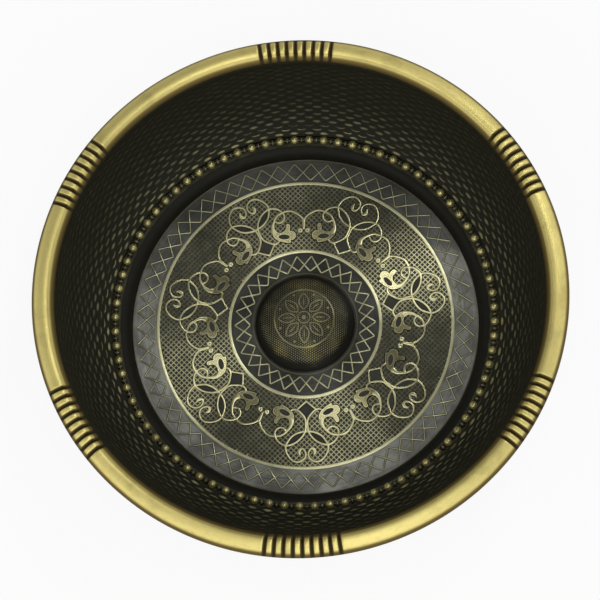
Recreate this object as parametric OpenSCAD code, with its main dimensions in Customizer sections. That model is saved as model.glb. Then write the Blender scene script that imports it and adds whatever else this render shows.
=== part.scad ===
// Hammam bowl: a shallow washing bowl of antiqued brass with a notched rolled
// rim, a drawn wall, a stepped base, a medallion floor and a domed boss.
// All sizes are in millimetres. The bowl stands on z = 0, centred on the z axis.

/* [Rim] */
// Outside diameter over the rolled rim
rim_d = 190; // [176:1:216]
// Diameter of the roll's section
roll_d = 6.4; // [5.6:0.1:8]
// Diameter of the core wire inside the roll
wire_d = 3.2; // [2.4:0.1:3.6]
// Width of the wall's turned-out lip that shows inside the roll
lip_w = 1.8; // [1.4:0.1:3]
// Thickness of the wall's lip in the roll's slot
lip_t = 1; // [0.6:0.1:1.4]

/* [Rim grooves] */
// Number of groups of grooves round the rim
groove_groups = 6; // [3:1:8]
// Number of grooves in a group
groove_count = 9; // [3:1:11]
// Distance from one groove to the next, along the rim
groove_pitch = 3.24; // [2:0.02:4]
// Width of a groove
groove_w = 0.9; // [0.5:0.1:1.4]
// Depth of a groove
groove_depth = 0.4; // [0.2:0.05:0.6]

/* [Wall] */
// Thickness of the wall's sheet
wall_t = 1; // [0.8:0.1:1.6]
// How far the wall's curve would run on past its foot before lying level
foot_run = 6.4; // [4:0.2:9]
// Width of the wall's shoulder that rests on the ledge
shoulder_w = 0.8; // [0.6:0.1:1.6]
// Length of the wall's skirt that laps over the base
skirt_lap = 3; // [2.4:0.1:4]

/* [Base] */
// Depth from the middle of the roll down to the floor
bowl_depth = 42.9; // [34:0.1:56]
// Thickness of the base's sheet
pan_t = 1.2; // [1:0.1:2]
// Width of the rounded step between the floor and the ledge
step_w = 4; // [3:0.1:7]
// Height of the ledge above the floor
ledge_h = 4.5; // [4:0.1:8]
// Bare width of the ledge inside the beads
ledge_edge = 0.6; // [0.3:0.1:2]
// Radius of the corner under the base
base_corner = 1; // [0.5:0.1:1]

/* [Beads] */
// Number of beads in the ring
bead_count = 80; // [40:1:96]
// Diameter of a bead
bead_d = 2.6; // [2:0.1:3.2]
// Diameter of the wire that links the beads
bead_link_d = 1.2; // [0.8:0.1:1.6]

/* [Medallion] */
// Diameter of the floor medallion
medallion_d = 128.4; // [120:0.2:134]
// Thickness of the medallion's sheet
medallion_t = 1; // [0.8:0.1:1.6]
// Height of the raised lines
relief_h = 0.3; // [0.1:0.05:0.5]
// Bare margin outside the outer lozenge band
margin_w = 1.7; // [1:0.1:3]
// Radial width of the outer lozenge band
outer_band_w = 6.5; // [5:0.1:8]
// Even number of lozenges in the outer band
outer_lozenges = 62; // [40:2:72]
// Radial width of the inner lozenge band
inner_band_w = 5.9; // [4:0.1:7]
// Even number of lozenges in the inner band
inner_lozenges = 30; // [20:2:36]
// Width of a lozenge's line
lozenge_line = 0.5; // [0.3:0.05:0.7]
// Width of the two raised circles
circle_w = 1.15; // [0.8:0.05:1.6]
// Gap between the outer lozenge band and its raised circle
outer_circle_gap = 0.8; // [0.5:0.1:2]
// Gap between the inner lozenge band and its raised circle
inner_circle_gap = 1.2; // [0.5:0.1:2]

/* [Boss] */
// Diameter of the boss where it leaves the floor
boss_d = 36.6; // [30:0.2:42]
// Height of the boss above the floor
boss_h = 9; // [6:0.1:14]
// Thickness of the boss's sheet
boss_t = 1; // [0.8:0.1:1.6]
// Width of the boss's brim, held between the base and the medallion
brim_w = 2.2; // [1.5:0.1:4]
// Thickness of the brim
brim_t = 0.6; // [0.4:0.05:0.8]
// Width of the raised collar round the boss
collar_w = 0.8; // [0.5:0.1:1.2]
// Bare gap between the collar and each of its neighbours
collar_gap = 0.6; // [0.4:0.1:1.5]

/* [Fit] */
// Clearance between pieces that slide together
fit_gap = 0.05; // [0.02:0.01:0.1]

/* [Hidden] */

$fn = 96;
curve_steps = 24;
boss_steps = 16;
corner_steps = 6;
cut_over = 1;
root_sink = 0.2;

antique = "#4a4426";
polished = "#b7a04c";
steel = "#8c8f92";

// Heights, from the bottom of the base upwards
floor_z = pan_t + medallion_t;
ledge_z = floor_z + ledge_h;
rim_z = floor_z + bowl_depth;

// Radii, from the medallion outwards to the foot of the wall
medallion_r = medallion_d / 2;
pan_bore_r = medallion_r + fit_gap;
ledge_r = pan_bore_r + step_w;
bead_ring_r = ledge_r + ledge_edge + bead_d / 2;
shoulder_r = bead_ring_r + bead_d / 2 + fit_gap;
pan_r = shoulder_r + shoulder_w;
skirt_r = pan_r + fit_gap;

// Radii of the rim and the top of the wall
roll_r = rim_d / 2 - roll_d / 2;
bore_r = wire_d / 2 + fit_gap;
wall_top_r = roll_r - roll_d / 2 - lip_w;
lip_r = roll_r - bore_r - fit_gap;

// The wall's quarter ellipse: its centre and its half axes
curve_r = shoulder_r - foot_run;
curve_z = rim_z - lip_t / 2;
curve_a = wall_top_r - curve_r;
curve_b = curve_z - ledge_z;

// Radii of the boss and of the hole in the base under it
boss_r = boss_d / 2;
boss_in_r = boss_r - boss_t;
brim_r = boss_r + brim_w;
pan_hole_r = boss_in_r;

// Radii of the medallion's raised lines
collar_r = boss_r + collar_gap + collar_w / 2;
inner_band_r = collar_r + collar_w / 2 + collar_gap;
inner_circle_r = inner_band_r + inner_band_w + inner_circle_gap + circle_w / 2;
outer_band_r = medallion_r - margin_w - outer_band_w;
outer_circle_r = outer_band_r - outer_circle_gap - circle_w / 2;

// Point on an ellipse about (r, z) with half axes a and b, at angle t
function on_ellipse(r, z, a, b, t) = [r + a * cos(t), z + b * sin(t)];

// Points along an ellipse from angle t0 to angle t1
function arc(r, z, a, b, t0, t1, steps) = [
    for (i = [0 : steps]) on_ellipse(r, z, a, b, t0 + (t1 - t0) * i / steps)
];

// Angle below the horizontal at which the ellipse reaches radius r_at
function angle_at(r_at, r, a) = -acos((r_at - r) / a);

// Points of a zigzag along every second side of n lozenges, moved outwards by shift
function zigzag(r_in, r_out, n, phase, shift) = [
    for (i = [0 : n - 1])
        let (
            turn = 360 * (i + phase) / n,
            r = (i % 2 == 0 ? r_out : r_in) + shift
        )
        [r * cos(turn), r * sin(turn)]
];

// Half the radial width of a zigzag's line, so that it is line wide across
function zigzag_half(r_in, r_out, n, line) =
    let (run = PI * (r_in + r_out) / n)
    line / 2 * norm([r_out - r_in, run]) / run;

// Rolled rim: a split tube, slotted inside for the lip and bored for the wire
module rim_roll() {
    color(polished)
    difference() {
        rotate_extrude()
            translate([roll_r, rim_z])
            difference() {
                circle(d = roll_d);
                circle(r = bore_r);
                translate([-roll_d, -lip_t / 2 - fit_gap])
                    square([roll_d, lip_t + 2 * fit_gap]);
            }
        rim_grooves();
    }
}

// Rings that cut the groups of grooves round the roll
module rim_grooves() {
    pitch_angle = groove_pitch / roll_r * 180 / PI;
    group_angle = 360 / groove_groups;
    for (g = [0 : groove_groups - 1], i = [0 : groove_count - 1])
        rotate([0, 0, group_angle * (g + 0.5) + pitch_angle * (i - (groove_count - 1) / 2)])
            translate([roll_r, 0, rim_z])
            rotate([90, 0, 0])
            difference() {
                cylinder(d = roll_d + 2 * cut_over, h = groove_w, center = true);
                cylinder(d = roll_d - 2 * groove_depth, h = groove_w + cut_over, center = true);
            }
}

// Core wire that stiffens the roll
module rim_wire() {
    color(steel)
    rotate_extrude()
        translate([roll_r, rim_z])
        circle(d = wire_d);
}

// Drawn wall: lip in the roll, curved side, shoulder on the ledge, lapped skirt
module wall_shell() {
    skirt_out_r = skirt_r + wall_t;
    out_a = curve_a + wall_t;
    out_b = curve_b + wall_t;
    inside = arc(curve_r, curve_z, curve_a, curve_b,
        angle_at(shoulder_r, curve_r, curve_a), 0, curve_steps);
    lip_bend = arc(wall_top_r + wall_t, curve_z, wall_t, lip_t, 180, 90, corner_steps);
    outside = arc(curve_r, curve_z, out_a, out_b,
        0, angle_at(skirt_out_r, curve_r, out_a), curve_steps);
    color(antique)
    rotate_extrude()
        polygon(concat(
            [[shoulder_r, ledge_z]],
            inside,
            [for (i = [1 : corner_steps]) lip_bend[i]],
            [[lip_r, curve_z + lip_t], [lip_r, curve_z]],
            outside,
            [
                [skirt_out_r, ledge_z - skirt_lap],
                [skirt_r, ledge_z - skirt_lap],
                [skirt_r, ledge_z]
            ]
        ));
}

// Base: flat bottom with a hole under the boss, rounded step, ledge and turned-down edge
module base_pan() {
    foot_r = pan_bore_r + pan_t;
    step = arc(ledge_r, floor_z, step_w, ledge_h, 180, 90, curve_steps);
    under = arc(ledge_r, floor_z, step_w - pan_t, ledge_h - pan_t, 90, 180, curve_steps);
    corner = arc(foot_r - base_corner, base_corner, base_corner, base_corner, 0, -90, corner_steps);
    color(antique)
    rotate_extrude()
        polygon(concat(
            [
                [pan_hole_r, pan_t - brim_t - fit_gap],
                [brim_r + fit_gap, pan_t - brim_t - fit_gap],
                [brim_r + fit_gap, pan_t],
                [pan_bore_r, pan_t]
            ],
            step,
            [
                [pan_r, ledge_z],
                [pan_r, ledge_z - skirt_lap],
                [pan_r - pan_t, ledge_z - skirt_lap],
                [pan_r - pan_t, ledge_z - pan_t]
            ],
            under,
            corner,
            [[pan_hole_r, 0]]
        ));
}

// Ring of beads on a wire, seated on the ledge against the wall's shoulder
module bead_ring() {
    link = bead_ring_r * sin(180 / bead_count);
    color(polished)
    for (i = [0 : bead_count - 1])
        rotate([0, 0, 360 * (i + 0.5) / bead_count])
            translate([bead_ring_r, 0, ledge_z + bead_d / 2 + fit_gap]) {
                sphere(d = bead_d);
                rotate([0, 0, 180 / bead_count])
                    rotate([-90, 0, 0])
                    cylinder(d = bead_link_d, h = 2 * link);
            }
}

// Floor medallion: a disc with a hole for the boss, two circles and two lozenge bands
module floor_medallion() {
    color(antique)
    difference() {
        union() {
            translate([0, 0, pan_t])
                cylinder(r = medallion_r, h = medallion_t);
            raised_circle(outer_circle_r, circle_w);
            raised_circle(inner_circle_r, circle_w);
            raised_circle(collar_r, collar_w);
            lozenge_band(outer_band_r, outer_band_w, outer_lozenges);
            lozenge_band(inner_band_r, inner_band_w, inner_lozenges);
        }
        translate([0, 0, pan_t - cut_over])
            cylinder(r = boss_r + fit_gap, h = medallion_t + 2 * cut_over);
    }
}

// Raised circle on the floor, w wide about radius r
module raised_circle(r, w) {
    rotate_extrude()
        translate([r - w / 2, floor_z - root_sink])
        square([w, relief_h + root_sink]);
}

// Band of raised lozenges from radius r outwards over width w: two crossing zigzags
module lozenge_band(r, w, n) {
    half = zigzag_half(r, r + w, n, lozenge_line);
    translate([0, 0, floor_z - root_sink])
        linear_extrude(relief_h + root_sink)
        for (phase = [0, 1])
            difference() {
                polygon(zigzag(r + half, r + w - half, n, phase, half));
                polygon(zigzag(r + half, r + w - half, n, phase, -half));
            }
}

// Domed boss, hollow underneath, with a brim in the base's recess
module boss() {
    outside = arc(0, floor_z, boss_r, boss_h, 0, 90, boss_steps);
    inside = arc(0, floor_z, boss_in_r, boss_h - boss_t, 90, 0, boss_steps);
    color(antique)
    rotate_extrude()
        polygon(concat(
            [
                [boss_in_r, pan_t - brim_t],
                [brim_r, pan_t - brim_t],
                [brim_r, pan_t - fit_gap],
                [boss_r, pan_t - fit_gap]
            ],
            outside,
            inside
        ));
}

rim_roll();
rim_wire();
wall_shell();
base_pan();
bead_ring();
floor_medallion();
boss();
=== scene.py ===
"""Hammam bowl: a washing bowl of antiqued brass, dressed round its CAD frame.

The file is laid out as an add-on and run as a script. Shapes are worked out in
millimetres and put into the meshes in metres, in the frame of the CAD model.
"""

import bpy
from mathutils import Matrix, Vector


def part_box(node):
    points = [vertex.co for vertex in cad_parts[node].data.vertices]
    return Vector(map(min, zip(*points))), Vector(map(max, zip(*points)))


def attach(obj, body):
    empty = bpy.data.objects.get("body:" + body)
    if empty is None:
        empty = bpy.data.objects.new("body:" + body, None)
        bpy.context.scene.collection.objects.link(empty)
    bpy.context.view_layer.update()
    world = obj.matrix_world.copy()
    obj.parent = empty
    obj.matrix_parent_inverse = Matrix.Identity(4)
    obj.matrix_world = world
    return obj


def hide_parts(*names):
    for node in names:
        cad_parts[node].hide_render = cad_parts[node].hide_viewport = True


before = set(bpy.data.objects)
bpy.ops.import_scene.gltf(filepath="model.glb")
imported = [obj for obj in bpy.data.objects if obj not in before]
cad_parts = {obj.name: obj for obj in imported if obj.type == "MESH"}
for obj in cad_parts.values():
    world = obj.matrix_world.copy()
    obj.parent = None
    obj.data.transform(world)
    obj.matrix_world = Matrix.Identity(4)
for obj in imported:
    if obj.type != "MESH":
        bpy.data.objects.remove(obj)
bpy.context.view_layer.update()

import math
from types import SimpleNamespace

import bmesh
import bpy
import numpy as np
from mathutils import Matrix, Vector

bl_info = {
    "name": "Hammam Bowl",
    "version": (1, 0, 0),
    "blender": (4, 5, 0),
    "location": "3D View > Sidebar > Bowl",
    "description": "A washing bowl of antiqued brass on its CAD frame",
    "category": "Object",
}

MM = 0.001
TURN = 2 * math.pi
BODY = "root"

ROLL_LOW, ROLL_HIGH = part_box("rim_roll")
_, PAN_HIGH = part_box("base_pan")
PLATE_LOW, PLATE_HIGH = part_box("floor_medallion")
_, BOSS_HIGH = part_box("boss")
BEADS_LOW, BEADS_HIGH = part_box("bead_ring")

# Lengths in millimetres, and one share, that several pieces have in common.
SEAM = 0.05          # gap between two pieces at a seam
SKIN_GAP = 0.02      # gap between the wall's two skins, and round the beads
BORE_SHARE = 0.515   # the roll's bore as a share of its radius
LIP_ROOT = 1.2       # how far outside the wall's top the lip's two halves part
FOOT_INSET = 0.8     # how far the wall's foot lies inside the base's edge
RECESS = 0.65        # depth of the base's recess for the boss's brim
SINK = 0.06          # how deep raised lines reach into the ground
MERGE = 0.0002       # points closer than this become one

# The rim's grooves: one group in the middle of each sector.
GROOVE_GROUPS = 6
GROOVES = 9

# The wall's pits: how many to a row, how many rows, their half sizes in steps of the row and of the rows'
# pitch, and how far each of two neighbouring rows is moved along itself and across.
PITS_ROUND = 80
PIT_ROWS = 26
PIT_HALF_LENGTH = 0.56
PIT_HALF_HEIGHT = 0.95
ROW_SHIFTS = ((0.0, 0.0), (0.5, 1.0))

# The beads, and the reels between them: a reel's size as a share of a bead's, and how much lower it sits.
BEADS = 80
REEL_SHARE = (0.78, 0.42, 0.78)
REEL_DROP = 0.25

# The floor's plan in millimetres: circles as radius and width, bands of lozenges as inner radius, outer
# radius, number and line width, and the collar's radius, half width and height.
CIRCLES = ((54.625, 1.12), (27.975, 1.15))
LOZENGE_BANDS = ((56.0, 62.5, 62, 0.55), (20.3, 26.2, 30, 0.65))
COLLAR = (19.3, 0.42, 0.26)

# The hatching: its band's two radii, the heights of its pits and ridges, and the lines of one cell as
# shares of the pitch, two on the ridge and two at the edges of the pit's bottom.
HATCHED_BAND = (28.3, 54.3)
HATCH_BOTTOM = 0.02
HATCH_TOP = 0.15
HATCH_CELL = (-0.11, 0.11, 0.19, 0.81)

# Painted shadows: dark strips beside a line or a flower's edge; how far they show beyond it, and how high
# they stand.
LINE_MARGIN = 0.3
FLOWER_MARGIN = 0.35
LOZENGE_MARGIN = 0.22
BORDER_TOP = HATCH_TOP + 0.02
LOZENGE_BORDER_TOP = 0.04

# Painted shade at the back of the floor, where the back wall's shade falls: it deepens between these two
# distances behind the middle.
BACK_SHADE = (25.0, 45.0)

# The scroll motif: how often it repeats, half of its sector, and where the first one points.
MOTIFS = 7
HALF_SECTOR = math.pi / MOTIFS
FIRST_MOTIF = -math.pi / 2

# One half of the scroll motif: x across, y outwards from the bowl's axis, and the line's width.
VOLUTE = [
    (2.4, 49.75, 0.3), (2.85, 49.0, 0.85), (2.85, 48.2, 1.3), (2.45, 47.5, 1.15),
    (1.75, 47.25, 0.85), (1.0, 47.85, 0.72), (0.55, 48.8, 0.68), (0.48, 49.8, 0.68),
    (0.9, 50.8, 0.68), (1.75, 51.65, 0.7), (2.9, 52.15, 0.72), (3.9, 52.2, 0.72),
    (4.95, 51.85, 0.72), (6.1, 50.9, 0.72), (7.0, 49.7, 0.72), (7.57, 48.4, 0.72),
    (7.8, 47.2, 0.72), (7.74, 46.0, 0.72), (7.23, 45.0, 0.72), (5.8, 42.95, 0.72),
    (4.6, 42.05, 0.72), (3.25, 41.4, 0.72), (1.7, 41.0, 0.72), (-0.2, 40.85, 0.72),
]
STEM_AND_CURL = [
    (6.2, 33.3, 0.7), (5.36, 32.75, 0.7), (4.4, 32.5, 0.7), (3.5, 32.75, 0.7),
    (2.7, 33.3, 0.7), (1.7, 34.4, 0.7), (0.77, 35.6, 0.7), (0.34, 37.0, 0.7),
    (0.34, 38.5, 0.7), (0.5, 40.5, 0.7), (1.37, 42.4, 0.72), (2.4, 43.6, 0.72),
    (3.6, 44.65, 0.72), (4.95, 45.4, 0.72), (6.3, 45.85, 0.72), (7.65, 46.0, 0.72),
    (9.0, 45.6, 0.72), (10.0, 44.9, 0.72), (10.9, 43.95, 0.72), (11.4, 42.95, 0.72),
    (11.73, 41.6, 0.72), (11.55, 40.55, 0.72), (11.05, 39.8, 0.72), (10.2, 39.3, 0.72),
    (9.35, 39.2, 0.7), (8.5, 39.55, 0.68), (7.9, 40.15, 0.66), (7.55, 40.75, 0.6),
]
POINT_SIDE = [(3.55, 32.7, 0.65), (1.8, 31.15, 0.65), (-0.1, 29.5, 0.65)]
LENS_TOP = 46.0
LENS_FOOT = 41.0
POINT_TOP = 37.0
SCROLL_ARM = [
    (17.3, 36.3, 0.75), (17.1, 37.7, 0.75), (16.66, 38.9, 0.75), (16.0, 40.05, 0.75),
    (15.1, 41.2, 0.75), (14.1, 41.9, 0.75), (12.9, 42.3, 0.75), (11.65, 42.4, 0.75),
    (10.4, 42.35, 0.75), (9.2, 42.1, 0.75), (8.0, 41.35, 0.8), (7.1, 40.45, 0.9),
    (6.25, 39.45, 1.05), (5.6, 38.25, 1.4), (5.45, 37.15, 1.8), (5.6, 36.1, 2.1),
    (6.1, 35.0, 2.2),
]
FLOWER_EDGE = [
    (4.45, 36.4), (4.55, 34.9), (5.1, 33.6), (5.8, 32.9), (7.0, 31.7), (8.2, 30.9),
    (9.05, 30.45), (9.4, 30.7), (9.7, 31.35), (10.4, 31.1), (11.2, 31.2), (12.0, 31.8),
    (12.4, 32.75), (12.3, 33.6), (11.7, 34.4), (11.1, 34.75), (11.2, 35.2), (11.8, 36.1),
    (12.0, 37.0), (11.6, 37.6), (11.05, 37.7), (10.6, 37.3), (10.2, 36.6), (9.5, 35.9),
    (8.7, 35.55), (7.65, 35.6), (6.8, 36.1), (5.6, 36.6),
]
FLOWER_EYE = (8.0, 33.6)
EYE_HALF_AXES = (2.05, 0.92)
EYE_TILT = math.radians(-28)
SEAM_CURL = (14.5, 33.2)

# The stem on the seam between two motifs: distance from the bowl's axis, and the line's width.
SEAM_STEM = ((41.0, 0.9), (40.2, 1.3), (39.0, 1.2), (37.6, 1.0), (36.6, 0.8))

# The camera's axes and place, fitted to the photo.
CAMERA_BACK = (0.04613, -0.27480, 0.96039)
CAMERA_UP = (0.02702, 0.96141, 0.27379)
CAMERA_PLACE = (0.039532, -0.237014, 0.862509)

# The lamps' places and sizes in metres, and what they are turned to.
LAMPS = {
    "back_lamp": ((0.386, 0.532, 1.072), (0.28, 0.28)),
    "over_lamp": ((0.108, -0.267, 1.175), (0.36, 0.7)),
    "front_lamp": ((-0.25, -0.78, 0.85), (2.2, 0.5)),
}
LAMP_AIM = (0.0, 0.0, 0.02)

# The sky: the heights between which it dims, and its strength behind the bowl as a share.
SKY_BAND = (0.28, 0.92)
SKY_BEHIND = 0.45

# Share of plain white in the stage's floor as it is seen. The rest is lit paper, which keeps the shadow.
WHITE_SHARE = 0.9


def number(name, description, default, unit="NONE"):
    """A number of some unit for a property group."""
    return bpy.props.FloatProperty(
        name=name, description=description, default=default, unit=unit, precision=5
    )


def length(name, description, default):
    """A length in metres for a property group."""
    return number(name, description, default, "LENGTH")


def tint(name, description, default):
    """A linear colour for a property group."""
    return bpy.props.FloatVectorProperty(
        name=name, description=description, default=default, subtype="COLOR", min=0.0, max=1.0
    )


class BowlSizes(bpy.types.PropertyGroup):
    """Sizes of the bowl's pieces."""

    rim_radius: length("Rim radius", "Outside radius over the rolled rim", ROLL_HIGH.x)
    roll_radius: length("Roll radius", "Radius of the roll's section", (ROLL_HIGH.z - ROLL_LOW.z) / 2)
    rim_height: length("Rim height", "Height of the roll's middle", (ROLL_HIGH.z + ROLL_LOW.z) / 2)
    roll_lean: length("Roll lean", "How far the roll's crest lies inwards of its middle", 0.0013)
    groove_depth: length("Groove depth", "Depth of a rim groove", 0.0006)
    groove_width: length("Groove width", "Width of a rim groove", 0.0019)
    groove_pitch: length("Groove pitch", "Distance between rim grooves", 0.00324)
    lip: length("Lip", "Half thickness of the wall's lip in the roll", 0.0005)
    wall_top: length("Wall top", "Inside radius at the top of the wall", 0.0868)
    sheet: length("Sheet", "Thickness of the wall's sheet", 0.001)
    foot_run: length("Foot run", "How far the wall's curve runs on past its foot", 0.0064)
    skirt: length("Skirt", "Length of the wall's skirt over the base", 0.003)
    pit_depth: length("Pit depth", "Depth of the wall's pits", 0.00042)
    ledge: length("Ledge", "Height of the base's ledge", PAN_HIGH.z)
    pan_radius: length("Base radius", "Outside radius of the base", PAN_HIGH.x)
    pan_sheet: length("Base sheet", "Thickness of the base's sheet", PLATE_LOW.z)
    step_width: length("Step width", "Width of the rounded step", 0.004)
    bead_radius: length("Bead radius", "Radius of a bead", (BEADS_HIGH.z - BEADS_LOW.z) * 0.62)
    link_radius: length("Link radius", "Radius of the wire between beads", 0.0006)
    plate_radius: length("Floor radius", "Radius of the floor's plate", PLATE_HIGH.x)
    plate_sheet: length("Floor sheet", "Thickness of the floor's plate", 0.001)
    relief: length("Relief", "Height of the floor's raised lines", 0.0003)
    hatch_pitch: length("Hatch pitch", "Distance between hatch lines", 0.00138)
    boss_radius: length("Boss radius", "Radius of the boss at the floor", 0.0183)
    boss_rise: length("Boss rise", "Height of the boss above the floor", 0.009)
    boss_sheet: length("Boss sheet", "Thickness of the boss's sheet", 0.001)
    brim_radius: length("Brim radius", "Outside radius of the boss's brim", BOSS_HIGH.x)
    stipple_pitch: length("Stipple pitch", "Distance between the boss's punched dots", 0.0008)


class BowlColours(bpy.types.PropertyGroup):
    """Colours of the bowl's finishes."""

    brass: tint("Brass", "Polished brass of the rim", (0.81, 0.695, 0.255))
    deep_brass: tint("Deep brass", "Tarnished brass", (0.20, 0.145, 0.045))
    pale_brass: tint("Pale brass", "Rubbed brass of the raised lines", (0.62, 0.60, 0.36))
    circle_brass: tint("Circle brass", "Bright brass of the raised circles", (0.79, 0.76, 0.45))
    olive: tint("Olive", "Thinly covered brass", (0.15, 0.145, 0.078))
    grey: tint("Grey", "Grey patina of the floor", (0.33, 0.335, 0.30))
    dark: tint("Dark", "Brown black patina in the hollows", (0.012, 0.0115, 0.008))
    steel: tint("Steel", "Core wire", (0.5, 0.5, 0.52))


class StageLook(bpy.types.PropertyGroup):
    """Light, floor and camera."""

    floor: tint("Floor", "Colour of the floor", (0.86, 0.86, 0.86))
    horizon: number("Horizon", "Strength of the soft light at the horizon", 1.0)
    overhead: number("Overhead", "Strength of the soft light overhead", 0.13)
    front_lamp: number("Front lamp", "Power of the broad lamp over the front", 3.3, "POWER")
    back_lamp: number("Back lamp", "Power of the lamp behind on the right", 2.6, "POWER")
    over_lamp: number("Over lamp", "Power of the lamp over the front right", 2.4, "POWER")
    lens: number("Lens", "Focal length of the camera", 144.85, "CAMERA")


def in_mm(group):
    """The lengths of a property group in millimetres, as plain numbers."""
    names = [p.identifier for p in group.bl_rna.properties if p.type == "FLOAT" and p.unit == "LENGTH"]
    return SimpleNamespace(**{name: getattr(group, name) / MM for name in names})


class Patch:
    """A surface: points, four-cornered faces, and numbers kept at every point."""

    def __init__(self, points, faces, values):
        self.points = points
        self.faces = faces
        self.values = values


def grid(points, close_u=False, close_v=False, **values):
    """Patch over a grid of points, u down the rows and v along them. A closed direction meets itself."""
    nu, nv = points.shape[:2]
    i = np.arange(nu if close_u else nu - 1)[:, None]
    j = np.arange(nv if close_v else nv - 1)
    below, beside = (i + 1) % nu * nv, (j + 1) % nv
    corners = [i * nv + j, below + j, below + beside, i * nv + beside]
    faces = np.stack(np.broadcast_arrays(*corners), -1).reshape(-1, 4)
    spread = {k: np.broadcast_to(v, (nu, nv)).reshape(-1).astype(float) for k, v in values.items()}
    return Patch(points.reshape(-1, 3), faces, spread)


def joined(patches):
    """One patch from several, with the faces renumbered."""
    starts = np.cumsum([0] + [len(p.points) for p in patches[:-1]])
    points = np.concatenate([p.points for p in patches])
    faces = np.concatenate([p.faces + start for p, start in zip(patches, starts)])
    values = {k: np.concatenate([p.values[k] for p in patches]) for k in patches[0].values}
    return Patch(points, faces, values)


def outward(patch):
    """Turns the faces round if the closed patch's volume, summed over its faces, comes out negative."""
    a, b, c, d = (patch.points[patch.faces[:, k]] for k in range(4))
    volume = (np.cross(b - a, c - a) * a).sum() + (np.cross(c - a, d - a) * a).sum()
    return patch if volume > 0 else Patch(patch.points, patch.faces[:, ::-1], patch.values)


def turned(patch, angles):
    """Copies of a patch turned about the bowl's axis by each of the angles."""
    angles = np.asarray(angles, float)
    c, s, zero, one = np.cos(angles), np.sin(angles), np.zeros(len(angles)), np.ones(len(angles))
    turns = np.stack([c, -s, zero, s, c, zero, zero, zero, one], -1).reshape(-1, 3, 3)
    points = np.einsum("kij,nj->kni", turns, patch.points).reshape(-1, 3)
    steps = np.arange(len(angles))[:, None, None] * len(patch.points)
    faces = (patch.faces[None] + steps).reshape(-1, 4)
    return Patch(points, faces, {k: np.tile(v, len(angles)) for k, v in patch.values.items()})


def mirrored(patch):
    """The patch with x reversed, and its faces turned to match."""
    return Patch(patch.points * [-1, 1, 1], patch.faces[:, ::-1], patch.values)


def revolved(r, z, angles, **values):
    """A closed section of radii and heights, carried round the bowl's axis. It may vary by angle."""
    c, s = np.cos(angles)[:, None], np.sin(angles)[:, None]
    points = np.stack(np.broadcast_arrays(r * c, r * s, z), -1)
    return outward(grid(points, True, True, **values))


def even_angles(count):
    """Angles at even steps over one turn, without the repeated end."""
    return np.arange(count) * TURN / count


def ellipse(centre, half_axes, start, end, count):
    """Points on an ellipse, from one angle to another in degrees."""
    t = np.radians(np.linspace(start, end, count))
    return np.stack([centre[0] + half_axes[0] * np.cos(t), centre[1] + half_axes[1] * np.sin(t)], -1)


def smooth(x, low, high):
    """0 below low, 1 above high, and a smooth step between."""
    t = np.clip((x - low) / (high - low), 0, 1)
    return t * t * (3 - 2 * t)


def run_along(line):
    """Lengths along a line of points, from its start."""
    return np.concatenate([[0], np.cumsum(np.linalg.norm(np.diff(line, axis=0), axis=1))])


def cut_at(line, run, at):
    """A line's points and numbers at given lengths along it."""
    return np.stack([np.interp(at, run, column) for column in line.T], -1)


def curve(knots, step=0.3, tip=0.4):
    """Smooth line through knots: cubic Hermite spans whose slopes weigh those of both chords at a knot.

    The spans are run through in 16 parts each, then cut again at even steps of length, with closer
    steps near both ends so that a line can end round.
    """
    k = np.asarray(knots, float)
    t = np.concatenate([[0], np.cumsum(np.sqrt(np.linalg.norm(np.diff(k[:, :2], axis=0), axis=1)))])
    gap = np.diff(t)[:, None]
    chord = np.diff(k, axis=0) / gap
    middle = (gap[1:] * chord[:-1] + gap[:-1] * chord[1:]) / (gap[1:] + gap[:-1])
    slope = np.concatenate([chord[:1], middle, chord[-1:]])
    u = np.linspace(0, 1, 16, endpoint=False)[None, :, None]
    p0, p1, m0, m1 = k[:-1, None], k[1:, None], (slope[:-1] * gap)[:, None], (slope[1:] * gap)[:, None]
    spans = (
        p0 * (2 * u**3 - 3 * u**2 + 1) + m0 * (u**3 - 2 * u**2 + u)
        + p1 * (3 * u**2 - 2 * u**3) + m1 * (u**3 - u**2)
    )
    fine = np.concatenate([spans.reshape(-1, k.shape[1]), k[-1:]])
    run = run_along(fine[:, :2])
    ends = tip * np.array([0, 0.08, 0.25, 0.55])
    body = np.linspace(tip, run[-1] - tip, max(2, int((run[-1] - 2 * tip) / step)))
    return cut_at(fine, run, np.concatenate([ends, body, run[-1] - ends[::-1]]))


def raised_line(line, height, floor, sides=9, closed=False, fullness=4.0, rubbed=1.0):
    """A raised line: a rounded section of the line's own width, carried along it and closed flat below.

    Across the line q runs from -1 to 1 and the height is (1 - |q|^n)^(1/n). Open ends close to points.
    """
    xy, width = line[:, :2], line[:, 2]
    if closed:
        along = np.roll(xy, -1, 0) - np.roll(xy, 1, 0)
        end = np.ones(len(xy))
    else:
        along = np.gradient(xy, axis=0)
        run = run_along(xy)
        near = np.minimum(run, run[-1] - run) / (0.5 * np.maximum(width, 0.2))
        end = np.sqrt(np.clip(1 - (1 - np.clip(near, 0, 1)) ** 2, 0, 1))
    along = along / np.linalg.norm(along, axis=1, keepdims=True)
    side = np.stack([-along[:, 1], along[:, 0]], -1)
    q = np.sin(np.linspace(-1, 1, sides) * math.pi / 2)
    rise = np.clip(1 - np.abs(q) ** fullness, 0, 1) ** (1 / fullness)
    spot = xy[:, None] + side[:, None] * (q * 0.5 * width[:, None] * end[:, None])[..., None]
    z = floor - SINK + (height + SINK) * rise * end[:, None]
    points = np.concatenate([spot, z[..., None]], -1)
    worn = rubbed * np.clip(rise * 1.5 - 0.5, 0, 1) * end[:, None]
    return outward(grid(points, closed, True, worn=worn, field=0.0))


def painted_shadow_line(line, margin, height, floor, closed=False):
    """A low flat dark line under a raised one, wider by a margin on both sides: a painted shadow beside
    the raised line.
    """
    return raised_line(line + [0, 0, 2 * margin], height, floor, 5, closed, fullness=8.0, rubbed=0.0)


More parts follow.
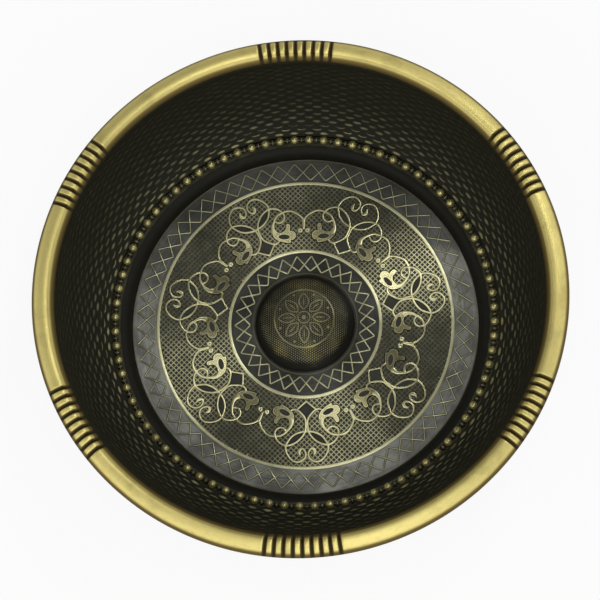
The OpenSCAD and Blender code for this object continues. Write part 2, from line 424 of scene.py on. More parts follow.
def ring_line(radius, width, count, centre=(0.0, 0.0)):
    """A closed line round a centre, for raised_line."""
    a = even_angles(count)
    return np.stack(
        [centre[0] + radius * np.cos(a), centre[1] + radius * np.sin(a), np.full(count, width)], -1
    )


def add_object(name, data):
    """A new object in the scene."""
    made = bpy.data.objects.new(name, data)
    bpy.context.scene.collection.objects.link(made)
    return made


def put_piece(name, patch, finish, node, crease=40):
    """Puts a patch into a mesh object that rides on the bowl's body and stands for a CAD node.

    Points that meet at a pole are merged, and edges sharper than the crease, in degrees, stay sharp.
    """
    mesh = bpy.data.meshes.new(name)
    mesh.vertices.add(len(patch.points))
    mesh.vertices.foreach_set("co", (patch.points * MM).astype(np.float32).ravel())
    mesh.loops.add(patch.faces.size)
    mesh.loops.foreach_set("vertex_index", patch.faces.astype(np.int32).ravel())
    mesh.polygons.add(len(patch.faces))
    mesh.polygons.foreach_set("loop_start", np.arange(0, patch.faces.size, 4, dtype=np.int32))
    mesh.update(calc_edges=True)
    for key, numbers in patch.values.items():
        kept = mesh.attributes.new(key, "FLOAT", "POINT")
        kept.data.foreach_set("value", numbers.astype(np.float32))
    cleaned = bmesh.new()
    cleaned.from_mesh(mesh)
    bmesh.ops.remove_doubles(cleaned, verts=cleaned.verts, dist=MERGE * MM)
    cleaned.to_mesh(mesh)
    cleaned.free()
    mesh.shade_smooth()
    mesh.set_sharp_from_angle(angle=math.radians(crease))
    mesh.materials.append(finish)
    piece = add_object(name, mesh)
    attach(piece, BODY)
    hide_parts(node)


def arithmetic(operation, swapped=False):
    """A method that adds a Math node for a value and another value or number."""
    def method(self, other):
        return self.calc(operation, other, self) if swapped else self.calc(operation, self, other)
    return method


class Value:
    """A number that varies over a surface: one output socket. Arithmetic on it adds Math nodes."""

    def __init__(self, socket):
        self.socket = socket

    def calc(self, operation, *items):
        """The result of a Math node on some items."""
        node = self.socket.id_data.nodes.new("ShaderNodeMath")
        node.operation = operation
        for socket, item in zip(node.inputs, items):
            plug(socket, item)
        return Value(node.outputs[0])

    def also(self, name):
        """Another output of the same node."""
        return Value(self.socket.node.outputs[name])

    __add__ = arithmetic("ADD")
    __radd__ = arithmetic("ADD", True)
    __sub__ = arithmetic("SUBTRACT")
    __rsub__ = arithmetic("SUBTRACT", True)
    __mul__ = arithmetic("MULTIPLY")
    __truediv__ = arithmetic("DIVIDE")
    __pow__ = arithmetic("POWER")


def plug(socket, item):
    """Links a value to a socket, or sets the socket to a plain number, colour or vector."""
    if isinstance(item, Value):
        socket.id_data.links.new(item.socket, socket)
    elif socket.type == "RGBA":
        socket.default_value = (*item, 1.0)
    else:
        socket.default_value = item


class Finish:
    """The node tree of a material or a world, made empty first."""

    def __init__(self, owner):
        owner.use_nodes = True
        owner.node_tree.nodes.clear()
        self.owner = owner

    def node(self, kind, settings=None, sockets=None, out=0):
        """Adds a node of a kind, gives it its settings and sockets, and returns one of its outputs."""
        made = self.owner.node_tree.nodes.new(kind)
        for key, item in (settings or {}).items():
            setattr(made, key, item)
        for key, item in (sockets or {}).items():
            plug(made.inputs[key], item)
        return Value(made.outputs[out]) if made.outputs else None

    def place(self):
        """Object coordinates in millimetres."""
        at = self.node("ShaderNodeTexCoord", out="Object")
        return self.node("ShaderNodeVectorMath", {"operation": "SCALE"}, {0: at, "Scale": 1 / MM})

    def split(self, vector):
        """The three parts of a vector."""
        x = self.node("ShaderNodeSeparateXYZ", None, {0: vector})
        return x, x.also("Y"), x.also("Z")

    def noise(self, scale, detail=3.0, rough=0.55, at=None):
        """Cloudy noise from 0 to 1, in waves per millimetre, or per unit of another vector."""
        return self.node(
            "ShaderNodeTexNoise", None,
            {"Vector": at or self.place(), "Scale": scale, "Detail": detail, "Roughness": rough},
        )

    def step(self, value, low, high, start=0.0, end=1.0):
        """A smooth step from start to end as the value goes from low to high."""
        return self.node(
            "ShaderNodeMapRange", {"interpolation_type": "SMOOTHSTEP"},
            {"Value": value, "From Min": low, "From Max": high, "To Min": start, "To Max": end},
        )

    def mix(self, first, second, share):
        """A colour between two colours."""
        return self.node("ShaderNodeMix", {"data_type": "RGBA"}, {0: share, 6: first, 7: second}, out=2)

    def kept(self, name):
        """A number kept at the piece's points."""
        return self.node("ShaderNodeAttribute", {"attribute_name": name}, out="Fac")

    def bump(self, height, distance, strength):
        """A normal from a height of 0 to 1 over a distance in millimetres."""
        sockets = {"Height": height, "Distance": distance * MM, "Strength": strength}
        return self.node("ShaderNodeBump", None, sockets)

    def grain(self, across, along):
        """Noise drawn out round the bowl's axis, in waves per millimetre across and per turn along."""
        x, y, z = self.split(self.place())
        r = (x * x + y * y) ** 0.5
        spread = along / TURN
        line = self.node(
            "ShaderNodeCombineXYZ", None,
            {0: x / r * spread, 1: y / r * spread, 2: (r + z * 0.7) * across},
        )
        return self.noise(1.0, 2.0, at=line)

    def marks(self):
        """The floor's fine turning marks, and the normal that they give."""
        marks = self.grain(4.0, 6.0)
        return marks, self.bump(marks, 0.004, 0.4)

    def behind(self):
        """Share of the painted shade at the back of the floor."""
        return self.step(self.split(self.place())[1], *BACK_SHADE)

    def metal(self, colour, rough, metallic, normal, **constants):
        """The shader and the output. Varying values go only to the first four. Returns the material."""
        sockets = {"Base Color": colour, "Roughness": rough, "Metallic": metallic, "Normal": normal}
        sockets.update({key.replace("_", " "): item for key, item in constants.items()})
        shader = self.node("ShaderNodeBsdfPrincipled", None, sockets)
        self.node("ShaderNodeOutputMaterial", None, {"Surface": shader})
        return self.owner


def lathe_gloss(share=1.0):
    """Gloss of turned metal: it spreads across the turning marks, which run round the bowl's axis."""
    return {"Anisotropic": share, "Anisotropic_Rotation": 0.25}


def new_finish(name):
    """A new material with an empty node tree."""
    return Finish(bpy.data.materials.new(name))


def blend(first, second, share):
    """A plain colour between two plain colours."""
    return tuple(a + (b - a) * share for a, b in zip(first, second))


def polished_brass(colours):
    """Satin brass of the rim: brushed round, tarnished in clouds, black in the grooves, and deep brass on
    its outer, lower side and inner flank as painted shade.
    """
    f = new_finish("polished_brass")
    cloud = f.noise(0.09, 4.0)
    grain = f.grain(3.0, 260.0)
    speck = f.noise(1.6, 3.0, 0.7)
    worn = f.kept("worn")
    edge = f.kept("edge")
    bright = f.mix(colours.brass, colours.deep_brass, f.step(cloud, 0.5, 0.78) * 0.32)
    streaked = f.mix(bright, colours.deep_brass, f.step(grain, 0.5, 0.8) * 0.2)
    spotted = f.mix(streaked, colours.dark, f.step(speck, 0.7, 0.8) * 0.55)
    # Painted shade: deep brass on the roll's outer, lower side and inner flank.
    edged = f.mix(spotted, colours.deep_brass, edge)
    # Deep brass and black in the grooves, and on the sides given painted shade.
    grooved_and_shaded = f.mix(colours.deep_brass, edged, f.step(worn, 0.5, 1.0))
    colour = f.mix(colours.dark, grooved_and_shaded, f.step(worn, -0.3, 0.8))
    rough = 0.44 + grain * 0.1 + (1 - worn) * 0.12
    height = grain * 0.6 + speck * 0.4
    return f.metal(colour, rough, 1.0, f.bump(height, 0.02, 0.5), **lathe_gloss(0.65))


def antiqued_wall(colours):
    """Blackened brass of the wall: black in the pits, rubbed lighter between them and browner at the lip.

    The light spots are partly wear and partly painted highlight: each sits to one side of its pit's
    middle, and they are brightest near the foot and fade upwards. Each spot is 1 - along^2 - across^2,
    weighted, from a place beside a pit's middle.
    """
    f = new_finish("antiqued_wall")
    x, y, _ = f.split(f.place())
    turn = f.node("ShaderNodeMath", {"operation": "ARCTAN2"}, {0: y, 1: x}) * (PITS_ROUND / TURN)
    row = f.kept("row")
    lights = []
    for shift, skip in ROW_SHIFTS:
        along = turn.calc("WRAP", turn + shift, 0.5, -0.5)
        # Painted highlight: the light spot is set off to one side of the pit's middle.
        across = row.calc("WRAP", row + skip, 1.0, -1.0) + 0.42
        lights.append(1 - along * along * 12.0 - across * across * 11.0)
    spot = turn.calc("MAXIMUM", *lights)
    rub = f.noise(0.22, 4.0)
    fine = f.noise(1.1, 3.0, 0.65)
    web = f.step(spot + (fine - 0.5) * 1.1, -0.5, 0.9) * f.step(rub, 0.3, 0.65, 0.4, 1.0)
    shown = web * f.kept("worn")
    covered = f.mix(colours.dark, colours.olive, f.step(shown, 0.0, 0.6, 0.045, 0.9))
    rubbed = f.mix(covered, colours.brass, f.step(shown, 0.35, 1.0) * 0.25)
    polish = f.kept("polish")
    colour = f.mix(rubbed, colours.deep_brass, f.step(polish, 0.0, 0.6))
    rough = 0.48 - shown * 0.14 + fine * 0.08
    metallic = f.step(shown + polish, 0.0, 1.0, 0.1, 0.5)
    return f.metal(colour, rough, metallic, f.bump(fine, 0.03, 0.6), Specular_IOR_Level=0.08)


def blackened_base(colours):
    """Smooth black patina of the base, rubbed along the edges of its ledge."""
    f = new_finish("blackened_base")
    grain = f.grain(2.0, 120.0)
    cloud = f.noise(0.15, 4.0)
    rubbed = f.step(f.kept("worn") * (0.6 + cloud), 0.3, 1.1)
    thin = f.mix(colours.dark, colours.olive, f.step(cloud * grain, 0.3, 0.6) * 0.15)
    colour = f.mix(thin, colours.olive, rubbed)
    normal = f.bump(grain, 0.02, 0.5)
    return f.metal(colour, 0.44 + cloud * 0.18, 0.25 + rubbed * 0.6, normal, Specular_IOR_Level=0.12)


def bead_brass(colours):
    """Rubbed brass of the beads: bright on top and dark low down between them."""
    f = new_finish("bead_brass")
    rub = f.noise(0.5)
    share = f.step(f.kept("worn") + (rub - 0.5) * 0.4, 0.15, 0.85)
    body = f.mix(colours.brass, colours.olive, f.step(rub, 0.25, 0.7, 0.4, 0.8))
    colour = f.mix(colours.dark, body, share)
    return f.metal(colour, 0.24, 0.3 + share * 0.35, f.bump(rub, 0.03, 0.4))


def floor_patina(colours):
    """Grey patina of the floor's plate, turned in fine rings and clouded, darker inside the inner circle
    and darkened towards the back by painted shade.
    """
    f = new_finish("floor_patina")
    rings = f.grain(1.6, 30.0)
    fine, normal = f.marks()
    cloud = f.noise(0.12, 4.0)
    shade = f.step(cloud + (rings - 0.5) * 0.5, 0.3, 0.75)
    # The kept number pale holds the darker inner ground and the painted shade towards the back.
    ground = f.mix(colours.dark, colours.grey, (0.4 + shade * 0.6) * f.kept("pale"))
    colour = f.mix(ground, colours.olive, f.kept("worn") * 0.8)
    rough = 0.40 + fine * 0.08
    return f.metal(colour, rough, 0.4, normal, Specular_IOR_Level=0.2, **lathe_gloss())


def raised_brass(colours, name, clean, turned_share, most_metal):
    """Rubbed brass of the raised lines, dark where they leave the ground, deeper in filled fields and
    olive towards the back as painted shade.
    """
    f = new_finish(name)
    cloud = f.noise(0.3, 4.0)
    share = f.step(f.kept("worn") + (cloud - 0.5) * 0.2, 0.1, 0.5)
    field = f.kept("field")
    rubbed = f.mix(clean, colours.deep_brass, f.step(cloud, 0.45, 0.8) * 0.35 + field * 0.3)
    # Painted shade: olive towards the back of the floor.
    brass = f.mix(rubbed, colours.olive, f.behind() * 0.4)
    colour = f.mix(blend(colours.dark, colours.olive, 0.12), brass, share)
    metallic = most_metal + field * (1 - most_metal)
    return f.metal(colour, 0.3 - field * 0.05, metallic, f.marks()[1], **lathe_gloss(turned_share))


def hatched_patina(colours):
    """Hatched ground: grey pits and thinly covered lines that catch the light, darkened towards the back
    by painted shade.
    """
    f = new_finish("hatched_patina")
    cloud = f.noise(0.2, 4.0)
    fine = f.noise(2.0, 2.0)
    share = f.step(f.kept("worn") + (fine - 0.5) * 0.3, 0.6, 1.0)
    ground = f.mix(colours.dark, colours.grey, 0.07 + cloud * 0.12)
    thin = f.mix(colours.olive, colours.pale_brass, f.step(cloud, 0.3, 0.7) * 0.4 + 0.25)
    # Painted shade: darker towards the back of the floor.
    colour = f.mix(f.mix(ground, thin, share), colours.dark, f.behind() * 0.4)
    rough = 0.75 - share * 0.47
    return f.metal(colour, rough, share, f.marks()[1], Specular_IOR_Level=0.05, **lathe_gloss())


def antiqued_boss(colours):
    """Stippled brass of the boss, with amber patches, and black round its foot as painted shade."""
    f = new_finish("antiqued_boss")
    cloud = f.noise(0.16)
    fine = f.noise(2.5)
    share = f.step(f.kept("worn") + (cloud - 0.5) * 1.1, 0.2, 1.0)
    amber = f.step(f.noise(0.1, 2.0), 0.48, 0.62)
    rubbed = f.mix(blend(colours.pale_brass, colours.olive, 0.15), colours.brass, amber)
    gold = f.mix(colours.olive, rubbed, fine * 0.6)
    colour = f.mix(colours.dark, gold, share)
    rough = 0.42 - share * 0.06
    normal = f.bump(fine, 0.01, 0.5)
    return f.metal(colour, rough, 0.4 + share * 0.6, normal, Specular_IOR_Level=0.3, **lathe_gloss())


def drawn_wire(colours):
    """Bright drawn wire with lengthways streaks."""
    f = new_finish("drawn_wire")
    streak = f.grain(6.0, 40.0)
    colour = f.mix(colours.steel, colours.dark, f.step(streak, 0.5, 0.8) * 0.4)
    return f.metal(colour, 0.25 + streak * 0.2, 1.0, f.bump(streak, 0.01, 0.5))


def rim_roll(s):
    """The roll: a split tube carried round the bowl, dipped in six groups of nine grooves.

    Its section starts at the slot's upper lip, runs out over the wall's lip and up a straight flank,
    then over the outside to the slot's lower lip and back round the bore. Above its middle the circle is
    pushed inwards by lean * (height / radius)^2, so that it slopes outwards, with a round inner shoulder.
    At a groove the outside sinks by depth * (1 - x^2)^1.5 over the groove's width.
    """
    middle = s.rim_radius - s.roll_radius
    bore = s.roll_radius * BORE_SHARE
    slot = s.lip + SEAM
    mouth = math.degrees(math.asin(slot / s.roll_radius))
    inner = math.degrees(math.asin(slot / bore))
    flank_top = 135
    outside = ellipse((0, 0), (s.roll_radius, s.roll_radius), flank_top, mouth - 180, 42)
    outside[:, 0] -= s.roll_lean * np.clip(outside[:, 1] / s.roll_radius, 0, 1) ** 2
    inside = ellipse((0, 0), (bore, bore), inner - 180, 180 - inner, 14)
    over_lip = np.array([[-s.roll_radius, slot], [s.wall_top + 0.75 - middle, slot]])
    flank_foot = np.array([s.wall_top + 0.18 - middle, 0.17])
    down = np.linspace(1, 0, 11)[:-1]
    flank = outside[0] + (flank_foot - outside[0]) * down[:, None]
    section = np.concatenate([over_lip, flank, outside, inside])
    down = np.concatenate([[1, 1], down, np.zeros(len(outside) + len(inside))])
    on_skin = np.ones(len(section))
    on_skin[-len(inside):] = 0
    pitch = s.groove_pitch / middle
    half = s.groove_width / middle / 2
    sector = TURN / GROOVE_GROUPS
    groups = sector * (np.arange(GROOVE_GROUPS)[:, None] + 0.5)
    centres = groups + pitch * (np.arange(GROOVES) - GROOVES // 2)
    cuts = half * np.array([-1.4, -1.0, -0.8, -0.55, -0.3, 0, 0.3, 0.55, 0.8, 1.0, 1.4])
    clear = (GROOVES // 2 + 0.6) * pitch
    plain = groups + np.linspace(clear, sector - clear, 36)
    angles = np.sort(np.concatenate([(centres[..., None] + cuts).ravel(), plain.ravel()]))
    off = np.abs((angles[:, None] - centres.ravel() + math.pi) % TURN - math.pi).min(1) / half
    dip = np.clip(1 - off**2, 0, 1) ** 1.5
    bearing = np.degrees(np.arctan2(section[:, 1], section[:, 0]))
    turned_to = np.degrees(np.arccos(np.clip(section[:, 0] / s.roll_radius, -1, 1))) * np.sign(bearing)
    deep = on_skin * smooth(turned_to, 8, 40) * (1 - 0.8 * smooth(down, 0.0, 0.9))
    reach = 1 - s.groove_depth / s.roll_radius * dip[:, None] * deep
    r = middle + section[:, 0] * reach
    z = s.rim_height + section[:, 1] * reach
    inward = -section[:, 0]
    # Painted shade: the roll's outer, lower side and its inner flank are turned deep brass here, and
    # darkened further in the next line.
    edge = np.maximum(smooth(-turned_to, -62, -34), smooth(inward, 2.9, 3.9)) * on_skin
    unshaded = np.minimum(1 - 0.65 * smooth(-turned_to, -56, -25), 1 - 0.85 * smooth(inward, 3.2, 4.8))
    worn = (1 - 1.1 * dip[:, None] ** 0.8 * on_skin) * unshaded
    return revolved(r, z, angles, worn=worn, edge=edge)


def wall_profile(s, grow, count):
    """Points at even lengths up the wall's quarter ellipse, grown outwards, their normals and lengths."""
    foot = s.pan_radius - FOOT_INSET
    centre = np.array([foot - s.foot_run, s.rim_height - s.lip])
    a = s.wall_top - centre[0] + grow
    b = centre[1] - s.ledge + grow
    low = foot + (s.pan_radius + SEAM + s.sheet - foot) * grow / s.sheet
    start = -math.degrees(math.acos((low - centre[0]) / a))
    fine = ellipse(centre, (a, b), start, 0, 400)
    run = run_along(fine)
    at = np.linspace(0, run[-1], count)
    line = cut_at(fine, run, at)
    lean = np.stack([(line[:, 0] - centre[0]) / a**2, (line[:, 1] - centre[1]) / b**2], -1)
    return line, lean / np.linalg.norm(lean, axis=1, keepdims=True), at


def pit_depth(turn, row):
    """Depth of the wall's pits from 0 to 1: bowls side by side in rows, every other row half a step on.

    Each pit is 1 - along^2 - across^2 from its middle, and where pits meet the deeper one counts.
    """
    depths = []
    for shift, skip in ROW_SHIFTS:
        along = ((turn + shift + 0.5) % 1 - 0.5) / PIT_HALF_LENGTH
        across = ((row + skip + 1) % 2 - 1) / PIT_HALF_HEIGHT
        depths.append(1 - along**2 - across**2)
    return np.maximum(np.maximum(*depths), 0)


def pitted_skin(s, angles, grow, steps):
    """One skin of the wall, moved outwards by the depth of its pits, which fade near lip and foot."""
    line, lean, run = wall_profile(s, grow, PIT_ROWS * steps + 1)
    row = run / run[-1] * PIT_ROWS
    fade = smooth(run, 0.0, 0.8) * smooth(run[-1] - run, 0.8, 5.0)
    push = s.pit_depth * pit_depth((angles * PITS_ROUND / TURN)[:, None], row) * fade
    r = line[:, 0] + lean[:, 0] * push
    z = line[:, 1] + lean[:, 1] * push
    # Painted light: the wall's light spots are brightest near the foot and fade upwards.
    worn = fade * (0.12 + 0.8 * np.exp(-run / 7.5))
    polish = 0.12 * (1 - smooth(run[-1] - run, 0.0, 1.6)) * (grow == 0)
    return [r, z] + [np.broadcast_to(v, r.shape) for v in (row, worn, polish)]


def wall_patch(angles, *parts):
    """A closed section of pitted skins and plain lines in turn, carried round the bowl's axis."""
    spread = []
    for part in parts:
        if not isinstance(part, list):
            shape = (len(angles), len(part))
            part = [np.broadcast_to(v, shape) for v in (part[:, 0], part[:, 1], 0.0, 0.0, 0.0)]
        spread.append(part)
    r, z, row, worn, polish = (np.concatenate(same, 1) for same in zip(*spread))
    return revolved(r, z, angles, row=row, worn=worn, polish=polish)


def lip_end(s):
    """Radius at which the wall's lip ends, inside the roll."""
    return s.rim_radius - s.roll_radius * (1 + BORE_SHARE) - SEAM


def wall_lining(s):
    """The wall's inner skin: pits up to a lip that turns out into the roll, with a plain back."""
    angles = even_angles(8 * PITS_ROUND)
    top = s.rim_height + s.lip
    half = s.rim_height
    end = lip_end(s)
    bend = ellipse((s.wall_top + s.sheet, half - s.lip), (s.sheet, 2 * s.lip), 172, 90, 5)
    lip = np.concatenate([bend, [[end, top], [end, half], [s.wall_top + LIP_ROOT, half]]])
    back, _, _ = wall_profile(s, 0.5 * s.sheet, 8)
    sole = s.ledge + SEAM
    foot = np.array([[back[0, 0], sole], [s.pan_radius - FOOT_INSET, sole]])
    return wall_patch(angles, pitted_skin(s, angles, 0.0, 5), lip, back[::-1], foot)


def wall_back(s):
    """The wall's outer skin: bumps behind the pits, a lip below the lining's and a skirt."""
    angles = even_angles(6 * PITS_ROUND)
    low = s.rim_height - s.lip
    end = lip_end(s)
    half = s.rim_height - SKIN_GAP
    front, _, _ = wall_profile(s, (0.5 + SKIN_GAP) * s.sheet, 8)
    root = s.wall_top + LIP_ROOT
    lip = np.array([[root, half], [end, half], [end, low], [s.wall_top + 2 * s.sheet, low]])
    skirt = s.pan_radius + SEAM
    base = s.ledge - s.skirt
    edge = np.array([
        [skirt + s.sheet, base + 0.15], [skirt + s.sheet - 0.15, base], [skirt + 0.1, base],
        [skirt, base + 0.1], [skirt, s.ledge + 0.4],
    ])
    skin = [numbers[:, ::-1] for numbers in pitted_skin(s, angles, s.sheet, 4)]
    return wall_patch(angles, front, lip, skin, edge)


def base_pan(s):
    """The base: a turned profile with a flat bottom, a rounded step and a ledge that is turned down."""
    bore = s.plate_radius + SEAM
    ledge_start = bore + s.step_width
    rise = s.ledge - s.floor
    foot = bore + s.pan_sheet
    hole = s.boss_radius - s.boss_sheet
    recess = s.brim_radius + SEAM
    step = ellipse((ledge_start, s.floor), (s.step_width, rise), 180, 90, 28)
    under = ellipse((ledge_start, s.floor), (s.step_width - s.pan_sheet, rise - s.pan_sheet), 90, 180, 24)
    corner = ellipse((foot - 1, 1), (1, 1), 0, -90, 8)
    drop = s.ledge - s.skirt
    profile = np.concatenate([
        [[hole, s.pan_sheet - RECESS], [recess, s.pan_sheet - RECESS], [recess, s.pan_sheet]],
        [[bore, s.pan_sheet]],
        step,
        [[s.pan_radius - 0.2, s.ledge], [s.pan_radius, s.ledge - 0.2], [s.pan_radius, drop]],
        [[s.pan_radius - s.pan_sheet, drop], [s.pan_radius - s.pan_sheet, s.ledge - s.pan_sheet]],
        under,
        corner,
        np.stack([np.linspace(foot - 1.6, hole + 0.3, 60), np.zeros(60)], -1),
        [[hole, 0.3]],
    ])
    r, z = profile.T
    rub = smooth(r, ledge_start - 0.8, ledge_start + 0.2) * smooth(z, s.ledge - 0.5, s.ledge) * 0.6
    rub = np.maximum(rub, smooth(r, foot - 2.5, foot - 0.5) * smooth(-z, -0.6, 0.0) * 0.8)
    return revolved(r, z, even_angles(256), worn=rub)


def bead_ring(s):
    """The beads: globes at even steps on a ring of wire, with flattened dark reels between them.

    Each is a grid of latitude and longitude.
    """
    radius = s.pan_radius - FOOT_INSET - SKIN_GAP - s.bead_radius
    height = s.ledge + SKIN_GAP + s.bead_radius
    up = np.radians(np.linspace(-90, 90, 12))[:, None]
    round_it = even_angles(18)
    globe = np.stack(np.broadcast_arrays(
        radius + s.bead_radius * np.cos(up) * np.cos(round_it),
        s.bead_radius * np.cos(up) * np.sin(round_it),
        height + s.bead_radius * np.sin(up) + 0 * round_it,
    ), -1)
    one = outward(grid(globe, False, True, worn=0.5 + 0.5 * np.sin(up)))
    small = (globe - [radius, 0, height]) * REEL_SHARE + [radius, 0, height - REEL_DROP]
    reel = outward(grid(small, False, True, worn=0.15 + 0.25 * np.sin(up)))
    beads = turned(one, even_angles(BEADS) + TURN / BEADS / 2)
    reels = turned(reel, even_angles(BEADS))
    section = ellipse((radius, height), (s.link_radius, s.link_radius), 0, 360, 11)[:-1]
    return joined([beads, reels, revolved(*section.T, even_angles(3 * BEADS), worn=0.1)])


def scroll_lines():
    """The half motif's lines, each as points with a width along it."""
    lines = [curve(knots) for knots in (VOLUTE, STEM_AND_CURL, POINT_SIDE, SCROLL_ARM)]
    seam = np.array([math.sin(HALF_SECTOR), math.cos(HALF_SECTOR)])
    reach = np.array(SEAM_STEM)
    stem = curve(np.column_stack([reach[:, :1] * seam, reach[:, 1]]))
    return lines, stem


def flower(s):
    """A filled flower between its edge and its oval eye: steep at both, and one flat field between.

    The edge is followed by bearing from the eye's middle; from it the surface runs straight to the
    point of the eye that has the same bearing.
    """
    edge = curve([(x, y, 0.0) for x, y in FLOWER_EDGE + FLOWER_EDGE[:1]], 0.22, 0.1)[:-1, :2]
    middle = np.array(FLOWER_EYE)
    away = edge - middle
    bearing = np.arctan2(away[:, 1], away[:, 0]) - EYE_TILT
    a, b = EYE_HALF_AXES
    reach = a * b / np.hypot(b * np.cos(bearing), a * np.sin(bearing))
    eye = middle + away / np.linalg.norm(away, axis=1, keepdims=True) * reach[:, None]
    span = np.linalg.norm(edge - eye, axis=1)
    tight = np.minimum(1, span / 1.5)
    # Rows of points: millimetres from the edge, millimetres from the eye, height, and share of the field.
    near = np.array([0.0, 0.0, 0.1, 0.28, 0.55])
    far = np.array([0.5, 0.26, 0.1, 0.0, 0.0])
    rise = np.array([-0.06, 0.08, 1.0, 1.0, 1.0, 1.0, 1.0, 1.0, 1.0, 0.08, -0.06])
    field = np.array([0.0, 0.0, 0.0, 0.0, 1.0, 1.0, 1.0, 0.0, 0.0, 0.0, 0.0])
    out = near * tight[:, None] / span[:, None]
    back = 1 - far * tight[:, None] / span[:, None]
    share = np.concatenate([out, 0.5 * (out[:, -1:] + back[:, :1]), back], 1)
    xy = edge[:, None] + (eye - edge)[:, None] * share[..., None]
    z = np.broadcast_to(s.floor + s.relief * rise, share.shape)
    points = np.concatenate([xy, z[..., None]], -1)
    return outward(grid(points, True, True, worn=np.clip(rise, 0, 1), field=field)), edge


def scrollwork(s):
    """Seven mirrored scroll motifs: lines, flowers, seam stems and their small curls."""
    lines, stem = scroll_lines()
    heights = (1.0, 1.05, 0.9, 1.02)
    half = [raised_line(line, s.relief * h, s.floor) for line, h in zip(lines, heights)]
    # Painted shadows: dark strips beside every line and the seam stem.
    half += [painted_shadow_line(line, LINE_MARGIN, BORDER_TOP, s.floor) for line in lines + [stem]]
    bloom, edge = flower(s)
    edge_line = np.column_stack([edge, np.full(len(edge), 0.1)])
    # Painted shadow: a dark strip round the flower's edge.
    border = painted_shadow_line(edge_line, FLOWER_MARGIN, BORDER_TOP, s.floor, closed=True)
    curl = raised_line(ring_line(0.54, 0.72, 24, SEAM_CURL), s.relief, s.floor, sides=7, closed=True)
    side = joined(half + [bloom, curl, border])
    turns = FIRST_MOTIF - math.pi / 2 + TURN / MOTIFS * np.arange(MOTIFS)
    both = joined([side, mirrored(side), raised_line(stem, s.relief * 1.1, s.floor)])
    return turned(both, turns)


def lozenge_lines(s):
    """Two bands of lozenges: straight raised lines that cross from a band's outer to its inner edge."""
    found = []
    for low, high, count, width in LOZENGE_BANDS:
        for side in (-1, 1):
            t = np.linspace(0, 1, 5)[:, None]
            a = side * TURN / count
            start = np.array([high, 0.0])
            end = low * np.array([math.cos(a), math.sin(a)])
            ends = np.concatenate([start + (end - start) * t, np.full((5, 1), width)], 1)
            line = curve(ends, step=2.5, tip=0.25)
            raised = raised_line(line, s.relief * 0.8, s.floor, sides=7, fullness=2.0)
            # Painted shadow: a dark strip beside each lozenge line.
            border = painted_shadow_line(line, LOZENGE_MARGIN, LOZENGE_BORDER_TOP, s.floor)
            found.append(turned(joined([raised, border]), even_angles(count)))
    return joined(found)


def raised_circles(s):
    """Two broad raised circles, on both sides of the hatched band."""
    return joined([
        raised_line(ring_line(radius, width, 360), s.relief, s.floor, sides=13, closed=True)
        for radius, width in CIRCLES
    ])


def floor_plate(s):
    """The floor's plate: a turned disc with a hole for the boss, a low collar and a rounded edge."""
    hole = s.boss_radius + SEAM
    edge = s.plate_radius
    floor = s.floor
    collar = ellipse((COLLAR[0], floor), COLLAR[1:], 180, 0, 9)
    rings = np.stack([np.linspace(20.4, edge - 0.8, 60), np.full(60, floor)], -1)
    profile = np.concatenate([
        [[hole, s.pan_sheet], [hole, floor - 0.1], [hole + 0.1, floor]],
        collar,
        rings,
        [[edge - 0.35, floor], [edge - 0.12, floor - 0.06], [edge, floor - 0.3], [edge, s.pan_sheet]],
    ])
    r, z = profile.T
    angles = even_angles(256)
    worn = np.maximum(smooth(r, edge - 0.6, edge - 0.2), smooth(z, floor + 0.05, floor + 0.25) * 0.7)
    pale = 0.21 + 0.84 * smooth(r, 27.0, 30.0)
    # Painted shade: the plate's ground darkens towards the back, where the back wall's shade falls. It is
    # kept with the tone in pale.
    thin = 1 - 0.8 * smooth(np.sin(angles)[:, None] * r, 5.0, 50.0)
    return revolved(r, z, angles, worn=worn, pale=pale * thin)


def inside_of(points, loop):
    """Whether points lie inside a closed loop: a ray to the right crosses it an odd number of times."""
    x, y = points[:, :1], points[:, 1:]
    x0, y0 = loop[None, :, 0], loop[None, :, 1]
    x1, y1 = np.roll(x0, -1, 1), np.roll(y0, -1, 1)
    spans = (y0 > y) != (y1 > y)
    level = np.where(np.abs(y1 - y0) < 1e-9, 1e-9, y1 - y0)
    return (spans & (x < x0 + (x1 - x0) * (y - y0) / level)).sum(1) % 2 == 1


def in_plain_field(s, xy):
    """Whether points of the floor lie in a plain field: a lens, the point below it, or a flower.

    The points are folded into the half motif first: turned into one sector, then mirrored.
    """
    bearing = np.arctan2(xy[:, 1], xy[:, 0]) - FIRST_MOTIF
    folded = np.abs((bearing + HALF_SECTOR) % (2 * HALF_SECTOR) - HALF_SECTOR)
    r = np.linalg.norm(xy, axis=1)
    local = np.stack([r * np.sin(folded), r * np.cos(folded)], -1)
    (volute, stem_line, point_side, _), _ = scroll_lines()
    _, edge = flower(s)
    lens = np.concatenate([
        stem_line[(stem_line[:, 1] > LENS_FOOT) & (stem_line[:, 0] < 7.7)][:, :2],
        volute[volute[:, 1] < LENS_TOP][:, :2],
    ])
    point = np.concatenate([
        [[0.0, POINT_TOP]],
        stem_line[(stem_line[:, 1] < POINT_TOP) & (stem_line[:, 0] < 3.6)][::-1][:, :2],
        point_side[:, :2],
    ])
    return inside_of(local, lens) | inside_of(local, point) | inside_of(local, edge)


